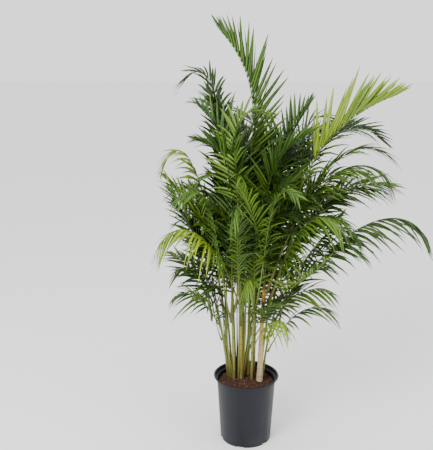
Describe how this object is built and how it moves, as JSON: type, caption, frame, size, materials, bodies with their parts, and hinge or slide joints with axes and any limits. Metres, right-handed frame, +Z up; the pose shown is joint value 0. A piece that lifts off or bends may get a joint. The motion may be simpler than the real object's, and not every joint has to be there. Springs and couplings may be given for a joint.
{
  "type": "potted palm",
  "caption": "Clump-forming cane palm with arching feather fronds, rooted in peat in a round tapered nursery pot.",
  "frame": {"origin": "centre of the pot's flat underside", "axes": "+Z up along the pot's axis; -Y towards the front of the plant, the side that shows best"},
  "size_m": [0.9615, 0.7104, 1.5116],
  "materials": {
    "pot": "matt slate-black moulded plastic",
    "peat": "crumbly red-brown peat, matt",
    "dead_cane": "dry dark brown stub",
    "pale_cane": "pale beige ringed cane turning orange-yellow above",
    "green_cane": "smooth yellow-green ringed cane",
    "frond": "waxy green leaflets on a yellow-green rachis"
  },
  "bodies": {
    "root": {"nursery_pot": "pot", "potting_soil": "peat", "old_stub": "dead_cane", "cane_pale": "pale_cane", "cane_lime": "green_cane", "cane_yellow": "green_cane", "cane_left": "green_cane", "cane_left_thin": "green_cane", "cane_left_outer": "green_cane", "cane_right_thin": "green_cane", "cane_right_outer": "green_cane", "cane_back": "green_cane", "cane_back_right": "green_cane", "cane_centre": "green_cane", "cane_front": "green_cane", "cane_front_right": "green_cane", "frond_01": "frond", "frond_02": "frond", "frond_03": "frond", "frond_04": "frond", "frond_05": "frond", "frond_06": "frond", "frond_07": "frond", "frond_08": "frond", "frond_09": "frond", "frond_10": "frond", "frond_11": "frond", "frond_12": "frond", "frond_13": "frond", "frond_14": "frond", "frond_15": "frond", "frond_16": "frond", "frond_17": "frond", "frond_18": "frond", "frond_19": "frond", "frond_20": "frond", "frond_21": "frond", "frond_22": "frond", "frond_23": "frond", "frond_24": "frond", "frond_25": "frond", "frond_26": "frond", "frond_27": "frond", "frond_28": "frond", "frond_29": "frond", "frond_30": "frond", "frond_31": "frond", "frond_32": "frond", "frond_33": "frond", "frond_34": "frond", "frond_35": "frond", "frond_36": "frond", "frond_37": "frond", "frond_38": "frond", "frond_39": "frond", "frond_40": "frond", "frond_41": "frond", "frond_42": "frond", "frond_43": "frond", "frond_44": "frond"}
  },
  "joints": []
}
